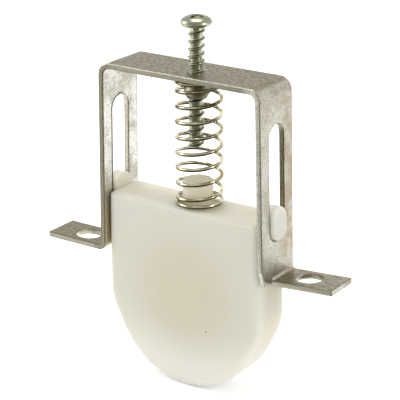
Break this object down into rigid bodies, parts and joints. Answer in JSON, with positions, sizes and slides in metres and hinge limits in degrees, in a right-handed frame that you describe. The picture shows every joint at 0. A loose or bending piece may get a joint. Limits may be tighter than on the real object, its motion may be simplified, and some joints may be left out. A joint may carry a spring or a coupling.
{
  "type": "sliding door guide shoe",
  "caption": "Spring-loaded round-nosed nylon guide shoe for a sliding door, carried in a slotted steel bracket with a travel-limiting screw.",
  "frame": {"origin": "midway between the two foot holes, on the plane of the left foot's upper face, which seats against the door", "axes": "+Z from the nose towards the bridge and the screw's head, X from foot to foot, Y across the strap"},
  "size_m": [0.0933, 0.016, 0.1082],
  "materials": {
    "strap_zinc": "galvanised, dull and slightly mottled",
    "shoe_nylon": "ivory nylon, soft satin, slightly translucent",
    "spring_wire": "bright wire with a faint yellow passivation",
    "screw_zinc": "bright zinc plating, slightly grey"
  },
  "bodies": {
    "bracket": {"bracket": "strap_zinc", "spring": "spring_wire"},
    "guide_shoe": {"guide_shoe": "shoe_nylon"},
    "adjusting_screw": {"adjusting_screw": "screw_zinc"}
  },
  "joints": [
    {"name": "shoe_slide", "type": "slide", "parent": "bracket", "child": "guide_shoe", "axis": [0, 0, 1], "range_m": [0, 0.0092], "stiffness_N_per_m": 900, "springref_m": -0.0095, "deforming": ["spring"]},
    {"name": "screw_travel", "type": "slide", "parent": "bracket", "child": "adjusting_screw", "axis": [0, 0, 1], "range_m": [0, 0.01058]}
  ]
}
